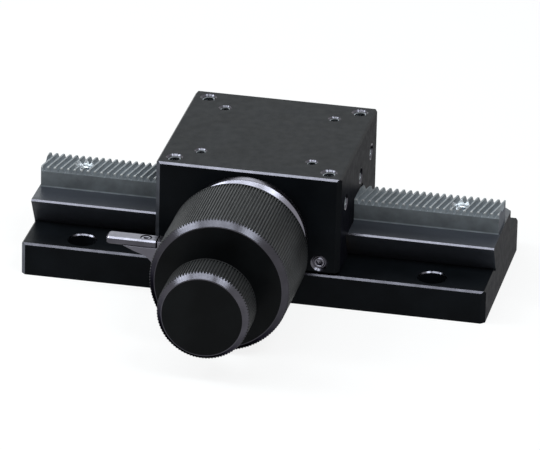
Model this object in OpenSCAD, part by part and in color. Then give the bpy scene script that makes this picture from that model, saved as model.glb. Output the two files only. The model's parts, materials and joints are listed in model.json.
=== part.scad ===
// Dovetail stage on a long rail, driven by a helical rack and pinion with coarse and fine knobs.
// X runs along the rail, the knobs point to -Y, and the origin is the middle of the underside.

/* [Base rail] */
// Length of the rail
rail_l = 151; // [146:1:180]
// Width of the base flange, which the carriage's width follows
base_w = 60; // [56:1:64]
// Thickness of the base flange
base_t = 11; // [9:0.5:12]
// Chamfer on the upright corners of the flange
base_corner = 1.3; // [0.5:0.1:2]
// Chamfer along the top edges of the flange
base_edge = 0.6; // [0.3:0.1:1]
// Width across the top of the dovetail
dove_w = 34.2; // [33:0.2:36]
// Height of the dovetail above the flange
dove_h = 9.4; // [9:0.2:10]
// Slope of the dovetail flanks from level
dove_a = 60; // [55:1:62]
// Height of the chamfer on the sharp edges of the dovetail
dove_land = 0.5; // [0.2:0.1:1]
// Corner cut at the rear ends of the dovetail
dove_end_cut = 3.3; // [1:0.1:4]
// Distance of the bolt holes from the middle, along the rail
bolt_x = 57; // [50:1:60]
// Distance of the bolt holes from the middle, across the rail
bolt_y = 23; // [22:0.5:24]
// Diameter of the bolt holes
bolt_d = 4.8; // [4.3:0.1:5.5]
// Diameter of the counterbores for the bolt heads
bolt_head_d = 8.8; // [7.5:0.1:9.5]
// Depth of the counterbores
bolt_head_h = 5; // [3:0.5:6]
// Chamfer round the mouth of the counterbores
bolt_edge = 0.4; // [0.2:0.1:0.8]

/* [Rack] */
// Length of the rack
rack_l = 150; // [140:1:150]
// Width of the rack
rack_w = 11.6; // [10:0.2:12]
// Height of the rack with its teeth
rack_h = 7.1; // [6.5:0.1:7.5]
// Tooth size: tooth spacing along the rail over pi
rack_mod = 0.7; // [0.6:0.05:0.8]
// Slant of the teeth
rack_helix = 12; // [0:1:15]
// Distance of the rack screws from the ends of the rack
rack_screw_inset = 13.2; // [8:0.2:20]

/* [Carriage] */
// Length of the carriage along the rail
car_l = 60; // [58:1:70]
// How far each side of the carriage stands in from the edge of the flange
car_inset = 0; // [0:0.1:1]
// Height of the carriage block
car_h = 32.2; // [31:0.2:36]
// Gap between the carriage and the flange
car_gap = 1; // [0.8:0.1:1.2]
// Where the carriage stands, from the middle of the rail
park_x = -1.8; // [-40:0.1:40]
// Chamfer on the upright corners of the carriage
car_corner = 1.4; // [0.5:0.1:3]
// Chamfer along the top edges of the carriage
car_edge = 0.6; // [0.3:0.1:1.5]
// Spacing of the large tapped holes in the top
top_pitch = 50; // [46:1:52]
// Diameter of the large tapped holes
top_d = 4; // [3:0.5:5]
// Spacing of the small tapped holes in the top
small_pitch = 36; // [34:1:40]
// Diameter of the small tapped holes
small_d = 3; // [2:0.5:3]
// Depth of the tapped holes
tap_h = 8; // [5:0.5:9]
// Diameter of the tapped holes in the ends
side_d = 4; // [3:0.5:4]
// Thickness of the gib strip
gib_t = 2.5; // [2:0.1:3]
// Distance of the gib screws from the middle of the carriage
gib_screw_x = 23.5; // [20:0.5:26]
// Diameter of the gib screws
gib_screw_d = 4; // [3:0.5:4]

/* [Drive] */
// Teeth on the rack pinion
pinion_teeth = 16; // [14:1:17]
// Teeth on the gear of the pinion shaft
gear_teeth = 24; // [22:1:24]
// Teeth on the gear of the knob shaft
drive_teeth = 14; // [12:1:14]
// Tooth size of the gear pair
gear_mod = 0.5; // [0.5:0.05:0.5]
// Diameter of the pinion shaft and of the knob shaft journal
shaft_d = 6; // [5:0.5:6]
// Diameter of the fine shaft, which the balls roll on
sun_d = 4; // [3.5:0.1:4]
// Diameter of the reduction balls
ball_d = 6; // [5.5:0.1:6]
// Number of reduction balls
ball_count = 4; // [3:1:4]

/* [Knobs] */
// Diameter of the coarse knob
coarse_d = 44.8; // [42:0.2:45]
// Length of the knurled band of the coarse knob
coarse_l = 28.5; // [26:0.5:32]
// Length of the coarse knob's front chamfer
coarse_edge = 1.9; // [1:0.1:2.5]
// Fall in radius over the coarse knob's front chamfer
coarse_fall = 1.3; // [0.8:0.1:2]
// Ridges around the coarse knob
coarse_ridges = 160; // [80:10:200]
// Diameter of the fine knob
fine_d = 29.4; // [24:0.2:32]
// Length of the knurled band of the fine knob
fine_l = 10.6; // [8:0.2:14]
// Length of the fine knob's front chamfer
fine_edge = 1.5; // [1:0.1:2]
// Fall in radius over the fine knob's front chamfer
fine_fall = 1.3; // [0.8:0.1:2]
// Ridges around the fine knob
fine_ridges = 90; // [60:10:120]
// Depth of the knurling
knurl_h = 0.35; // [0.2:0.05:0.4]
// Gap between the front of the coarse knob and the band of the fine knob
fine_gap = 11; // [9:0.5:14]

/* [Lock] */
// Diameter of the lock ring
lock_d = 40; // [38:0.5:41]
// Width of the lock ring
lock_w = 10.4; // [9:0.2:12]
// Reach of the lever from the knob axis
lever_reach = 43.6; // [40:0.2:50]
// Width of the lever
lever_w = 5; // [4:0.2:7]
// Thickness of the lever
lever_t = 2.4; // [2:0.1:3]

/* [Hidden] */
$fn = 72;

// How far a cutting tool runs past the surface that it opens
over = 1;
// Gap at a sliding face, a running fit and a seated thread or press fit
slide_gap = 0.04;
run_gap = 0.03;
seat_gap = 0.01;
// Clearance between gears or turning parts and the pockets round them
pocket_gap = 0.6;

// Width of the carriage
car_w = base_w - 2 * car_inset;

// Levels of the rail
rail_top = base_t + dove_h;
rack_top = rail_top + rack_h;
rack_screw_x = rack_l / 2 - rack_screw_inset;
car_z0 = base_t + car_gap;
car_top = car_z0 + car_h;
flank_run = 1 / tan(dove_a);
flank_grow = 1 / sin(dove_a);
function flank_y(z) = dove_w / 2 - (rail_top - z) * flank_run;

// Rack and pinion
press_a = 20;
rack_press_a = atan(tan(press_a) / cos(rack_helix));
rack_pitch = PI * rack_mod * cos(rack_helix);
tooth_foot_share = 1.2;
pinion_r = pinion_teeth * rack_mod / 2;
pinion_tip_r = pinion_r + rack_mod;
mesh_gap = 0.05;
tooth_slack = 0.14;
pinion_z = rack_top - rack_mod + pinion_r + mesh_gap;
pinion_w = rack_w;

// Gear pair between the knob shaft and the pinion shaft
pair_gap = 0.04;
pair_slack = 0.1;
gear_r = gear_teeth * gear_mod / 2;
drive_r = drive_teeth * gear_mod / 2;
knob_z = pinion_z - gear_r - drive_r - pair_gap;
gear_w = 4;

// Places along the knob axis are distances forward of the middle of the rail
face_s = car_w / 2;
cover_t = 2.8;
cover_s = face_s - cover_t;
gear_s1 = cover_s - pocket_gap / 2;
gear_s0 = gear_s1 - gear_w;
pocket_s = gear_s0 - pocket_gap / 2;

// Lock ring, brake washer and knobs, one in front of the other
lock_gap = 1.2;
lock_s0 = face_s + lock_gap;
lock_s1 = lock_s0 + lock_w;
washer_t = 0.5;
washer_gap = 0.3;
knob_s0 = lock_s1 + washer_t + washer_gap;
knurl_s1 = knob_s0 + coarse_l;
knob_s1 = knurl_s1 + coarse_edge;
fine_s0 = knob_s1 + fine_gap;
fine_s1 = fine_s0 + fine_l;
fine_s2 = fine_s1 + fine_edge;

// Boss that carries the knob shaft, and the cup of the ball reduction
boss_r = 8.5;
boss_nose = 1.6;
boss_s = knob_s0 + boss_nose;
bush_wall = 2;
journal_r = shaft_d / 2;
bush_r = journal_r + bush_wall;
cup_back_t = 2;
cup_s0 = knob_s0 + slide_gap;
cup_s1 = boss_s + cup_back_t;
orbit_r = sun_d / 2 + ball_d / 2 + run_gap;
race_r = orbit_r + ball_d / 2 + run_gap;
race_wall = 4;
race_margin = 2.4;
race_w = ball_d + race_margin;
cup_r = race_r + race_wall;
cup_wall = 2;
race_s0 = cup_s1;
race_s1 = race_s0 + race_w;
nut_t = 2.2;
cup_s2 = race_s1 + nut_t;
ball_s = race_s0 + race_w / 2;
cage_rim = 0.8;
cage_gap = 0.4;
cage_r = race_r - cage_gap;
cage_half = ball_d / 2 + cage_rim;
cavity_gap = 1;
cavity_r = cup_r + cup_wall + cavity_gap;
cavity_end_gap = 1.4;
cavity_s = cup_s2 + cavity_end_gap;
neck_r = 6;
neck_l = 6;
neck_s = cavity_s + neck_l;
small_bush_wall = 1.5;
small_bush_r = sun_d / 2 + small_bush_wall;
fine_neck_r = 8;
fine_neck_gap = 0.9;
fine_neck_s = knob_s1 + fine_neck_gap;
fine_bore_end = 2.6;
fine_bore_s = fine_s1 - fine_bore_end;

// Bushes of the pinion shaft
chamber_room = 1.6;
chamber_half = pinion_w / 2 + chamber_room;
front_bush_room = 0.3;
front_bush_r = pinion_tip_r + front_bush_room;
rear_bush_l = 8;
rear_bush_y = chamber_half + rear_bush_l;
ring_t = 0.8;
ring_groove = 0.5;
ring_rim = 1.2;
ring_r = journal_r + ring_rim;
shaft_tail = 1.8;
cap_t = 3;

// Opening of the carriage for the rack
channel_side = 1.2;
channel_half = rack_w / 2 + channel_side;
channel_top = rack_top + pocket_gap;

// Cover plate in the front face
cover_w = 26;
cover_r = 4;
cover_rise = 1.9;
cover_z0 = car_z0 + cover_rise;
cover_z1 = cover_z0 + cover_w;
cover_screw_x = 10;
cover_screw_inset = 3.3;

// Lever: the top of its lug, under the knob axis
lug_drop = 4.2;
lever_back = 4;
lever_s0 = lock_s0 + lever_back;
lever_s1 = lever_s0 + lever_w;
lever_screw_share = 0.71;
lever_end_share = 0.628;

// Colours
black_anodised = [0.13, 0.13, 0.14];
grey_knurl = [0.24, 0.25, 0.26];
dark_steel = [0.33, 0.34, 0.36];
bright_steel = [0.75, 0.76, 0.78];
silver = [0.7, 0.7, 0.72];
bronze = [0.72, 0.52, 0.28];

// Shapes shared by several pieces
module plan(l, w, c) {
    x = l / 2;
    y = w / 2;
    polygon([
        [-x + c, -y], [x - c, -y], [x, -y + c], [x, y - c],
        [x - c, y], [-x + c, y], [-x, y - c], [-x, -y + c]
    ]);
}

module edge_cut(l, c) {
    rotate([45, 0, 0])
        cube([l + 2 * over, c * sqrt(2), c * sqrt(2)], center = true);
}

module top_edge_cuts(l, w, z, c) {
    for (side = [-1, 1]) {
        translate([0, side * w / 2, z])
            edge_cut(l, c);
        translate([side * l / 2, 0, z])
            rotate([0, 0, 90])
                edge_cut(w, c);
    }
}

module along_x(l) {
    translate([-l / 2, 0, 0])
        rotate([90, 0, 90])
            linear_extrude(l)
                children();
}

module forward(x, z, s0, s1) {
    translate([x, -s0, z])
        rotate([90, 0, 0])
            linear_extrude(s1 - s0)
                children();
}

module rod(x, z, s0, s1, r) {
    forward(x, z, s0, s1)
        circle(r);
}

module tube(x, z, s0, s1, r0, r1) {
    difference() {
        rod(x, z, s0, s1, r1);
        rod(x, z, s0 - over, s1 + over, r0);
    }
}

module turned(x, z, outline) {
    translate([x, 0, z])
        rotate([90, 0, 0])
            rotate_extrude()
                polygon(outline);
}

module parked() {
    translate([park_x, 0, 0])
        children();
}

// Socket head screw standing on +Z, with its head resting at zero
module cap_screw(d, head_d, head_h, l) {
    socket_share = 0.5;
    difference() {
        union() {
            translate([0, 0, -l])
                cylinder(r = d / 2, h = l + head_h / 2);
            cylinder(r = head_d / 2, h = head_h);
        }
        translate([0, 0, head_h * (1 - socket_share)])
            cylinder(r = head_d * socket_share / 2, h = head_h, $fn = 6);
    }
}

// Tapped hole with a small countersink and a drill point, its mouth at zero and its depth along -Z
drill_slope = 31;
module tapped(d, h) {
    sink_share = 0.17;
    sink = d * sink_share;
    point = d / 2 * tan(drill_slope);
    translate([0, 0, -h])
        cylinder(r = d / 2, h = h + over);
    translate([0, 0, -h - point])
        cylinder(r1 = 0, r2 = d / 2, h = point);
    translate([0, 0, -sink])
        cylinder(r1 = d / 2, r2 = d / 2 + sink + over, h = sink + over);
}

// Outlines of the teeth
function inv_deg(a) = tan(a) * 180 / PI - a;
function half_tooth(r, rb, at_pitch, a) = at_pitch + inv_deg(a) - inv_deg(acos(min(1, rb / r)));
function gear_outline(teeth, m, a, slack, foot_share, steps) =
    let (
        rp = teeth * m / 2,
        rb = rp * cos(a),
        tip = rp + m,
        foot = rp - foot_share * m,
        start = max(rb, foot),
        at_pitch = 90 / teeth - slack * 90 / (PI * rp),
        rise = [for (k = [0:steps]) start + (tip - start) * k / steps],
        radii = foot < rb ? concat([foot], rise) : rise,
        n = len(radii)
    )
    [
        for (i = [0:teeth - 1])
            for (j = [0:2 * n - 1])
                let (
                    side = j < n ? -1 : 1,
                    r = radii[j < n ? j : 2 * n - 1 - j],
                    t = i * 360 / teeth + side * half_tooth(max(r, start), rb, at_pitch, a)
                )
                [r * cos(t), r * sin(t)]
    ];

function ridge_outline(r, depth, count) = [
    for (i = [0:2 * count - 1])
        let (q = i % 2 == 0 ? r : r - depth)
        [q * cos(i * 180 / count), q * sin(i * 180 / count)]
];

// Base rail: flange with counterbored bolt holes, and the dovetail in one piece with it
module base_rail() {
    color(black_anodised)
        difference() {
            union() {
                difference() {
                    linear_extrude(base_t)
                        plan(rail_l, base_w, base_corner);
                    top_edge_cuts(rail_l, base_w, base_t, base_edge);
                }
                dovetail();
            }
            for (x = [-bolt_x, bolt_x])
                for (y = [-bolt_y, bolt_y])
                    translate([x, y, 0])
                        bolt_hole();
            for (x = [-rack_screw_x, rack_screw_x])
                translate([x, 0, rail_top - rack_thread_h])
                    cylinder(r = rack_screw_d / 2 + seat_gap, h = rack_thread_h + over);
        }
}

module dovetail() {
    foot_y = flank_y(base_t);
    tip_y = dove_w / 2;
    intersection() {
        along_x(rail_l)
            polygon([
                [-foot_y, base_t - over], [foot_y, base_t - over], [foot_y, base_t],
                [tip_y - dove_land * flank_run, rail_top - dove_land],
                [tip_y - dove_land * (flank_run + 1), rail_top],
                [-tip_y + dove_land * (flank_run + 1), rail_top],
                [-tip_y + dove_land * flank_run, rail_top - dove_land],
                [-foot_y, base_t]
            ]);
        linear_extrude(rail_top + over)
            polygon([
                [-rail_l / 2, -base_w / 2], [rail_l / 2, -base_w / 2],
                [rail_l / 2, tip_y - dove_end_cut], [rail_l / 2 - dove_end_cut, tip_y],
                [-rail_l / 2 + dove_end_cut, tip_y], [-rail_l / 2, tip_y - dove_end_cut]
            ]);
    }
}

module bolt_hole() {
    translate([0, 0, -over])
        cylinder(r = bolt_d / 2, h = base_t + 2 * over);
    translate([0, 0, base_t - bolt_head_h])
        cylinder(r = bolt_head_d / 2, h = bolt_head_h + over);
    translate([0, 0, base_t - bolt_edge])
        cylinder(r1 = bolt_head_d / 2, r2 = bolt_head_d / 2 + bolt_edge + over, h = bolt_edge + over);
}

// Rack: a bar of slanted teeth cut square at its ends and sides
rack_screw_d = 3;
rack_head_d = 5.5;
rack_head_h = 3;
rack_head_sink = 1.8;
rack_head_room = 0.35;
rack_thread_h = 7;
module rack() {
    step = rack_pitch;
    count = ceil(rack_l / step / 2) + 2;
    tip_half = step / 4 - rack_mod * tan(press_a);
    foot = rack_mod * (1 + tooth_foot_share);
    foot_half = step / 4 + rack_mod * tooth_foot_share * tan(press_a);
    bar_half = count * step;
    color(dark_steel)
        difference() {
            intersection() {
                translate([-rack_l / 2, -rack_w / 2, rail_top])
                    cube([rack_l, rack_w, rack_h]);
                translate([0, 0, rail_top])
                    rotate([90, 0, -rack_helix])
                        linear_extrude(rack_l, center = true)
                            polygon(concat(
                                [[bar_half, 0], [bar_half, rack_h - foot]],
                                [for (k = [count - 1:-1:-count]) each [
                                    [k * step + step / 2 + foot_half, rack_h - foot],
                                    [k * step + step / 2 + tip_half, rack_h],
                                    [k * step + step / 2 - tip_half, rack_h],
                                    [k * step + step / 2 - foot_half, rack_h - foot]
                                ]],
                                [[-bar_half, rack_h - foot], [-bar_half, 0]]
                            ));
            }
            for (x = [-rack_screw_x, rack_screw_x])
                translate([x, 0, 0]) {
                    cylinder(r = rack_screw_d / 2 + mesh_gap, h = rack_top + over);
                    translate([0, 0, rack_top - rack_head_sink - rack_head_h])
                        cylinder(r = rack_head_d / 2 + rack_head_room, h = rack_head_h + rack_head_sink + over);
                }
        }
}

module rack_screws() {
    seat = rack_top - rack_head_sink - rack_head_h;
    color(bright_steel)
        for (x = [-rack_screw_x, rack_screw_x])
            translate([x, 0, seat])
                cap_screw(rack_screw_d, rack_head_d, rack_head_h, seat - rail_top + rack_thread_h - over);
}

// Carriage block: rides on the dovetail, and holds the gears, the pinion and the gib
gib_screw_rise = 3;
gib_screw_z = car_z0 + gib_screw_rise;
gib_sink = 0.7;
module carriage_block() {
    color(black_anodised)
        parked()
            difference() {
                translate([0, 0, car_z0])
                    linear_extrude(car_h)
                        plan(car_l, car_w, car_corner);
                top_edge_cuts(car_l, car_w, car_top, car_edge);
                slideway();
                drive_pockets();
                top_holes();
                end_holes();
                for (side = [-1, 1])
                    gib_screw_hole(side * gib_screw_x);
            }
}

module slideway() {
    low = car_z0 - over;
    high = rail_top + slide_gap;
    gib_room = (gib_t + 2 * slide_gap) * flank_grow;
    rear_room = slide_gap * flank_grow;
    along_x(car_l + 2 * over)
        polygon([
            [-flank_y(low) - gib_room, low], [flank_y(low) + rear_room, low],
            [flank_y(high) + rear_room, high], [channel_half, high],
            [channel_half, channel_top], [-channel_half, channel_top],
            [-channel_half, high], [-flank_y(high) - gib_room, high]
        ]);
}

module drive_pockets() {
    rod(0, pinion_z, -chamber_half, chamber_half, pinion_tip_r + pocket_gap);
    rod(0, pinion_z, 0, pocket_s + over, front_bush_r + seat_gap);
    rod(0, pinion_z, -car_w / 2 - over, 0, bush_r + seat_gap);
    rod(0, pinion_z, pocket_s, face_s, gear_r + gear_mod + pocket_gap);
    rod(0, knob_z, pocket_s, face_s, drive_r + gear_mod + pocket_gap);
    forward(0, 0, pocket_s, face_s)
        translate([-drive_r - gear_mod - pocket_gap, knob_z])
            square([2 * (drive_r + gear_mod + pocket_gap), pinion_z - knob_z]);
    forward(0, 0, cover_s, face_s + over)
        cover_plan(seat_gap);
    for (x = [-cover_screw_x, cover_screw_x])
        for (z = [cover_z0 + cover_screw_inset, cover_z1 - cover_screw_inset])
            rod(x, z, cover_s - cover_screw_l, cover_s + over, cover_screw_d / 2 + seat_gap);
}

module cover_plan(grow) {
    r = cover_r + grow;
    inset = cover_r;
    x = cover_w / 2;
    for (sx = [-1, 1])
        for (z = [cover_z0 + inset, cover_z1 - inset])
            translate([sx * (x - inset), z])
                circle(r);
    translate([-x + inset, cover_z0 - grow])
        square([2 * (x - inset), cover_z1 - cover_z0 + 2 * grow]);
    translate([-x - grow, cover_z0 + inset])
        square([2 * (x + grow), cover_z1 - cover_z0 - 2 * inset]);
}

module top_holes() {
    for (sx = [-1, 1])
        for (sy = [-1, 1]) {
            translate([sx * top_pitch / 2, sy * top_pitch / 2, car_top])
                tapped(top_d, tap_h);
            translate([sx * small_pitch / 2, sy * small_pitch / 2, car_top])
                tapped(small_d, tap_h);
        }
}

side_hole_drop = 11;
side_low_drop = 12.2;
side_rear_y = 20;
side_mid_y = 3;
side_front_y = -21;
module end_holes() {
    places = [[side_rear_y, side_hole_drop], [side_mid_y, side_low_drop], [side_front_y, side_hole_drop]];
    for (sx = [-1, 1])
        for (p = places)
            translate([sx * car_l / 2, p[0], car_top - p[1]])
                rotate([0, sx * 90, 0])
                    tapped(side_d, tap_h);
}

module gib_screw_hole(x) {
    r = gib_screw_d / 2 + seat_gap;
    rod(x, gib_screw_z, flank_y(gib_screw_z), face_s + over, r);
    turned(x, gib_screw_z, [
        [0, face_s - gib_sink], [r, face_s - gib_sink],
        [r + gib_sink + over, face_s + over], [0, face_s + over]
    ]);
}

// Gib strip between the front flank of the dovetail and the carriage
gib_trim = 0.25;
gib_inset = 1;
module gib() {
    low = car_z0 + gib_trim;
    high = rail_top - gib_trim;
    near = slide_gap * flank_grow;
    far = (gib_t + slide_gap) * flank_grow;
    color(bronze)
        parked()
            along_x(car_l - 2 * gib_inset)
                polygon([
                    [-flank_y(low) - far, low], [-flank_y(low) - near, low],
                    [-flank_y(high) - near, high], [-flank_y(high) - far, high]
                ]);
}

module gib_screws() {
    r = gib_screw_d / 2;
    tip_r = r / 2;
    tip_s = flank_y(gib_screw_z + tip_r) + (gib_t + 2 * slide_gap) * flank_grow;
    shoulder_s = flank_y(gib_screw_z + r) + (gib_t + 2 * slide_gap) * flank_grow;
    head_s = face_s - gib_sink / 2;
    socket_r = r / 2;
    color(bright_steel)
        parked()
            for (x = [-gib_screw_x, gib_screw_x])
                difference() {
                    turned(x, gib_screw_z, [
                        [0, tip_s], [tip_r, tip_s], [tip_r, shoulder_s + slide_gap],
                        [r, shoulder_s + r / 2], [r, head_s], [0, head_s]
                    ]);
                    forward(x, gib_screw_z, head_s - r, head_s + over)
                        circle(socket_r, $fn = 6);
                }
}

// Cover of the gear pocket, with the boss that carries the knob shaft
cover_screw_d = 2;
cover_screw_l = 5.5;
cover_head_d = 3.8;
cover_head_h = 1.5;
module gear_cover() {
    color(black_anodised)
        parked()
            difference() {
                union() {
                    forward(0, 0, cover_s, face_s)
                        cover_plan(0);
                    rod(0, knob_z, cover_s, boss_s, boss_r);
                }
                rod(0, knob_z, cover_s - over, boss_s + over, bush_r + seat_gap);
                for (x = [-cover_screw_x, cover_screw_x])
                    for (z = [cover_z0 + cover_screw_inset, cover_z1 - cover_screw_inset]) {
                        rod(x, z, cover_s - over, face_s + over, cover_screw_d / 2 + mesh_gap);
                        rod(x, z, face_s - cover_head_h, face_s + over, cover_head_d / 2 + mesh_gap);
                    }
            }
}

module gear_cover_screws() {
    color(bright_steel)
        parked()
            for (x = [-cover_screw_x, cover_screw_x])
                for (z = [cover_z0 + cover_screw_inset, cover_z1 - cover_screw_inset])
                    translate([x, -face_s + cover_head_h, z])
                        rotate([90, 0, 0])
                            cap_screw(cover_screw_d, cover_head_d, cover_head_h,
                                cover_t - cover_head_h + cover_screw_l - over / 2);
}

module knob_shaft_bush() {
    color(bronze)
        parked()
            tube(0, knob_z, cover_s, boss_s, journal_r + run_gap, bush_r);
}

module front_pinion_bush() {
    color(bronze)
        parked()
            tube(0, pinion_z, chamber_half, pocket_s, journal_r + run_gap, front_bush_r);
}

module rear_pinion_bush() {
    color(bronze)
        parked()
            tube(0, pinion_z, -rear_bush_y, -chamber_half, journal_r + run_gap, bush_r);
}

module rear_cap() {
    color(black_anodised)
        parked()
            turned(0, pinion_z, [
                [0, -car_w / 2], [bush_r - base_edge, -car_w / 2], [bush_r, -car_w / 2 + base_edge],
                [bush_r, -car_w / 2 + cap_t], [0, -car_w / 2 + cap_t]
            ]);
}

// Cup, race and nut of the ball reduction, which stand still on the boss
module race_cup() {
    outer = cup_r + cup_wall;
    color(black_anodised)
        parked()
            turned(0, knob_z, [
                [boss_r + seat_gap, cup_s0], [outer, cup_s0], [outer, cup_s2], [cup_r, cup_s2],
                [cup_r, cup_s1], [journal_r + pocket_gap, cup_s1], [journal_r + pocket_gap, boss_s],
                [boss_r + seat_gap, boss_s]
            ]);
}

module ball_race() {
    color(bright_steel)
        parked()
            tube(0, knob_z, race_s0, race_s1, race_r, cup_r - seat_gap);
}

module race_nut() {
    slot_w = 2;
    inner = neck_r + pocket_gap;
    color(dark_steel)
        parked()
            difference() {
                tube(0, knob_z, race_s1, cup_s2, inner, cup_r - seat_gap);
                forward(0, knob_z, cup_s2 - nut_t / 2, cup_s2 + over)
                    square([2 * cup_r, slot_w], center = true);
            }
}

// Pinion shaft with its pinion and gear
module pinion_shaft() {
    tail = -rear_bush_y - run_gap;
    groove = tail - ring_t;
    end = groove - shaft_tail;
    color(bright_steel)
        parked()
            turned(0, pinion_z, [
                [0, end], [journal_r, end], [journal_r, groove],
                [journal_r - ring_groove, groove], [journal_r - ring_groove, tail],
                [journal_r, tail], [journal_r, gear_s1], [0, gear_s1]
            ]);
}

module rack_pinion() {
    turn = park_x / pinion_r * 180 / PI;
    twist = pinion_w * tan(rack_helix) / pinion_r * 180 / PI;
    color(dark_steel)
        parked()
            difference() {
                translate([0, pinion_w / 2, pinion_z])
                    rotate([90, 0, 0])
                        rotate([0, 0, -90 - turn + twist / 2])
                            linear_extrude(pinion_w, twist = twist, slices = 6)
                                polygon(gear_outline(pinion_teeth, rack_mod, rack_press_a,
                                    tooth_slack, tooth_foot_share, 3));
                rod(0, pinion_z, -pinion_w / 2 - over, pinion_w / 2 + over, journal_r + seat_gap);
            }
}

module pinion_gear() {
    color(bronze)
        parked()
            difference() {
                forward(0, pinion_z, gear_s0, gear_s1)
                    rotate(-90)
                        polygon(gear_outline(gear_teeth, gear_mod, press_a, pair_slack,
                            tooth_foot_share, 3));
                rod(0, pinion_z, gear_s0 - over, gear_s1 + over, journal_r + seat_gap);
            }
}

module retaining_ring() {
    tail = -rear_bush_y - run_gap;
    color(bright_steel)
        parked()
            tube(0, pinion_z, tail - ring_t + seat_gap, tail - seat_gap,
                journal_r - ring_groove + seat_gap, ring_r);
}

// Knob shaft: gear seat, journal, ball cage and the neck that carries the coarse knob
gear_seat_r = 2;
module ball_carrier() {
    bore = sun_d / 2 + run_gap;
    sun_room = sun_d / 2 + pocket_gap / 2;
    color(bright_steel)
        parked()
            difference() {
                turned(0, knob_z, [
                    [0, gear_s0], [gear_seat_r, gear_s0], [gear_seat_r, gear_s1],
                    [journal_r, gear_s1], [journal_r, ball_s - cage_half],
                    [cage_r, ball_s - cage_half], [cage_r, ball_s + cage_half],
                    [neck_r, ball_s + cage_half], [neck_r, neck_s], [0, neck_s]
                ]);
                rod(0, knob_z, ball_s + cage_half, neck_s + over, bore);
                rod(0, knob_z, ball_s - cage_half + cage_rim, ball_s + cage_half + seat_gap, sun_room);
                for (i = [0:ball_count - 1])
                    translate([0, -ball_s, knob_z])
                        rotate([0, ball_turn(i), 0])
                            cylinder(r = ball_d / 2 + run_gap, h = race_r);
            }
}

function ball_turn(i) = (i + 0.5) * 360 / ball_count;

module drive_gear() {
    color(bronze)
        parked()
            difference() {
                forward(0, knob_z, gear_s0, gear_s1)
                    rotate(90 + 180 / drive_teeth)
                        polygon(gear_outline(drive_teeth, gear_mod, press_a, pair_slack,
                            tooth_foot_share, 3));
                rod(0, knob_z, gear_s0 - over, gear_s1 + over, gear_seat_r + seat_gap);
            }
}

module reduction_balls() {
    color(bright_steel)
        parked()
            for (i = [0:ball_count - 1])
                translate([0, -ball_s, knob_z])
                    rotate([0, ball_turn(i), 0])
                        translate([0, 0, orbit_r])
                            sphere(r = ball_d / 2);
}

// Coarse knob: straight knurling, a bright front chamfer, and a cavity for the reduction
set_screw_d = 4;
module coarse_knob() {
    r = coarse_d / 2;
    root = r - knurl_h;
    step = seat_gap * 4;
    color(grey_knurl)
        parked()
            difference() {
                union() {
                    forward(0, knob_z, knob_s0, knurl_s1)
                        polygon(ridge_outline(r, knurl_h, coarse_ridges));
                    turned(0, knob_z, [
                        [0, knurl_s1 - over], [root - over, knurl_s1 - over], [root - step, knurl_s1],
                        [root - coarse_fall, knob_s1], [0, knob_s1]
                    ]);
                }
                rod(0, knob_z, knob_s0 - over, cavity_s, cavity_r);
                rod(0, knob_z, cavity_s - over, neck_s, neck_r + seat_gap);
                rod(0, knob_z, neck_s - over, knob_s1 + over, small_bush_r + seat_gap);
                translate([0, -(cavity_s + neck_s) / 2, knob_z - coarse_d])
                    cylinder(r = set_screw_d / 2 + seat_gap, h = coarse_d - neck_r + seat_gap);
            }
}

module coarse_set_screw() {
    screw_share = 0.6;
    r = set_screw_d / 2;
    l = (coarse_d / 2 - neck_r) * screw_share;
    color(dark_steel)
        parked()
            translate([0, -(cavity_s + neck_s) / 2, knob_z - neck_r - l])
                difference() {
                    cylinder(r = r, h = l - seat_gap);
                    translate([0, 0, -over])
                        cylinder(r = r / 2, h = r + over, $fn = 6);
                }
}

module fine_shaft_bush() {
    color(bronze)
        parked()
            tube(0, knob_z, neck_s, knob_s1, sun_d / 2 + run_gap, small_bush_r);
}

// Fine knob on the shaft that the balls roll on
fine_screw_d = 3;
module fine_shaft() {
    color(bright_steel)
        parked()
            rod(0, knob_z, ball_s - cage_half + cage_rim + mesh_gap, fine_bore_s - mesh_gap, sun_d / 2);
}

module fine_knob() {
    r = fine_d / 2;
    root = r - knurl_h;
    step = seat_gap * 4;
    color(grey_knurl)
        parked()
            difference() {
                union() {
                    forward(0, knob_z, fine_s0, fine_s1)
                        polygon(ridge_outline(r, knurl_h, fine_ridges));
                    turned(0, knob_z, [
                        [0, fine_s1 - over], [root - over, fine_s1 - over], [root - step, fine_s1],
                        [root - fine_fall, fine_s2], [0, fine_s2]
                    ]);
                    rod(0, knob_z, fine_neck_s, fine_s0 + over, fine_neck_r);
                }
                rod(0, knob_z, fine_neck_s - over, fine_bore_s, sun_d / 2 + seat_gap);
                translate([0, -(fine_neck_s + fine_s0) / 2, knob_z - fine_d])
                    cylinder(r = fine_screw_d / 2 + seat_gap, h = fine_d - sun_d / 2);
            }
}

module fine_set_screw() {
    r = fine_screw_d / 2;
    l = fine_neck_r - sun_d / 2 - base_edge;
    color(dark_steel)
        parked()
            translate([0, -(fine_neck_s + fine_s0) / 2, knob_z - sun_d / 2 - l])
                difference() {
                    cylinder(r = r, h = l - seat_gap);
                    translate([0, 0, -over])
                        cylinder(r = r / 2, h = r + over, $fn = 6);
                }
}

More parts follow.
